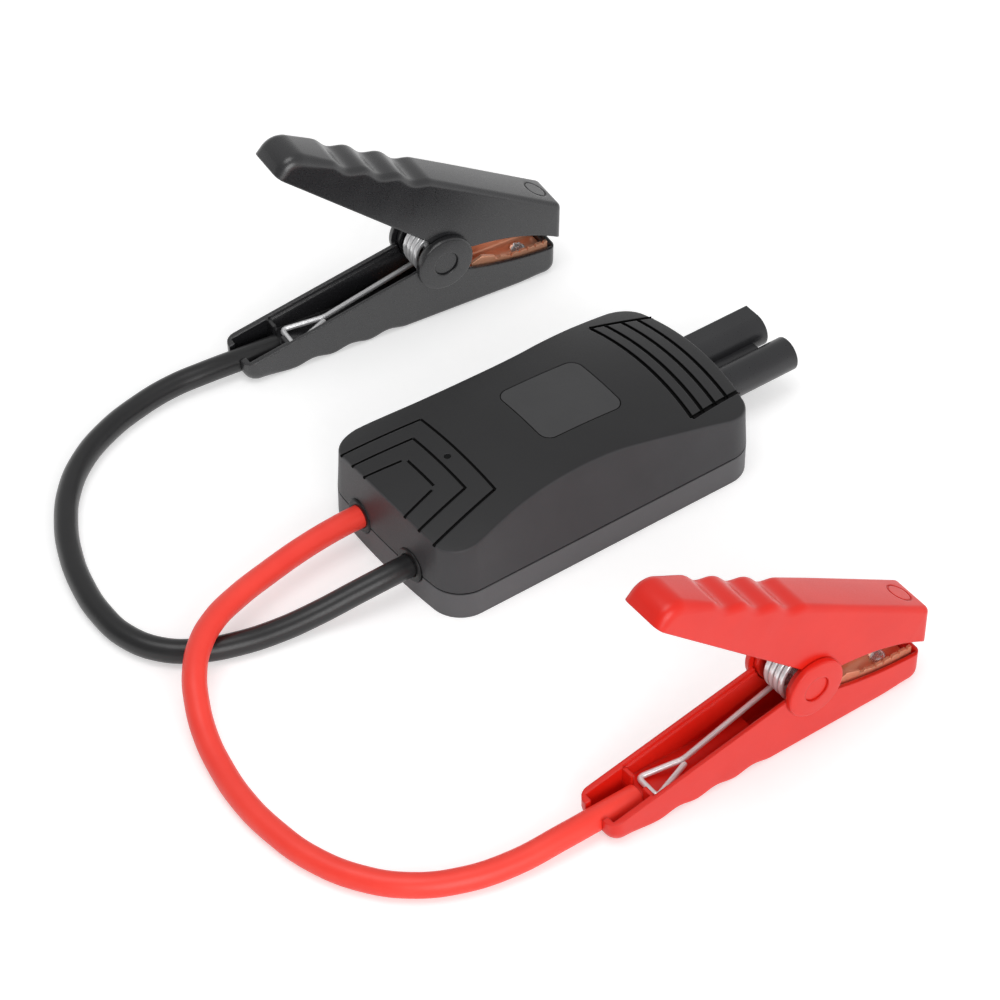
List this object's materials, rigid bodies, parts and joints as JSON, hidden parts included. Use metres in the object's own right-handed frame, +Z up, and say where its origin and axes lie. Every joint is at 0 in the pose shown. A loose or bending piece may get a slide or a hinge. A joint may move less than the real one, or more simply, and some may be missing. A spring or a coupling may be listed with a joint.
{
  "type": "jump starter clamp lead",
  "caption": "Clamp lead of a car jump starter: control box with a keyed twin-barrel plug, a red and a black cable, and a spring clamp with toothed copper jaws on each.",
  "frame": {"origin": "on the ground under the middle of the control box", "axes": "+X along the box to the plug, +Y to the black clamp, +Z up"},
  "size_m": [0.1949, 0.1934, 0.0666],
  "materials": {
    "case_plastic": "fine satin texture, dark charcoal",
    "label_plastic": "satin, a little lighter than the case",
    "plug_plastic": "semi-gloss black",
    "relay_plastic": "black moulding",
    "capacitor_can": "sleeved can",
    "board": "solder mask",
    "lamp_clear": "clear moulding",
    "black_rubber": "soft matt",
    "red_rubber": "soft satin",
    "red_plastic": "satin moulding",
    "black_plastic": "satin moulding",
    "steel": "bright spring wire and screws",
    "copper": "bare copper"
  },
  "bodies": {
    "root": {"lower_case": "case_plastic", "upper_case": "case_plastic", "case_screws": "steel", "circuit_board": "board", "relay": "relay_plastic", "capacitor": "capacitor_can", "indicator_led": "lamp_clear", "light_pipe": "lamp_clear", "label_plate": "label_plastic", "plug_housing": "plug_plastic", "plug_contacts": "copper", "bus_bars": "copper", "red_grommet": "black_rubber", "black_grommet": "black_rubber", "red_lead_lug": "copper", "black_lead_lug": "copper", "red_cable": "red_rubber", "black_cable": "black_rubber", "red_lower_shell": "red_plastic", "red_pivot_pin": "steel", "red_pivot_caps": "red_plastic", "red_spring": "steel", "red_lower_contact": "copper", "red_lower_screw": "steel", "red_core_wire": "copper", "black_lower_shell": "black_plastic", "black_pivot_pin": "steel", "black_pivot_caps": "black_plastic", "black_spring": "steel", "black_lower_contact": "copper", "black_lower_screw": "steel", "black_core_wire": "copper"},
    "red_jaw": {"red_upper_shell": "red_plastic", "red_upper_contact": "copper", "red_upper_screw": "steel"},
    "black_jaw": {"black_upper_shell": "black_plastic", "black_upper_contact": "copper", "black_upper_screw": "steel"}
  },
  "joints": [
    {"name": "red_jaw_hinge", "type": "hinge", "parent": "root", "child": "red_jaw", "pos_m": [-0.0012, -0.0984, 0.018], "axis": [0, -1, 0], "range_deg": [0, 53], "stiffness_Nm_per_rad": 0.5, "springref_deg": -57.3, "deforming": ["red_spring"]},
    {"name": "black_jaw_hinge", "type": "hinge", "parent": "root", "child": "black_jaw", "pos_m": [0.0195, 0.0743, 0.018], "axis": [-0.1045, -0.9945, 0], "range_deg": [0, 53], "stiffness_Nm_per_rad": 0.5, "springref_deg": -57.3, "deforming": ["black_spring"]}
  ]
}
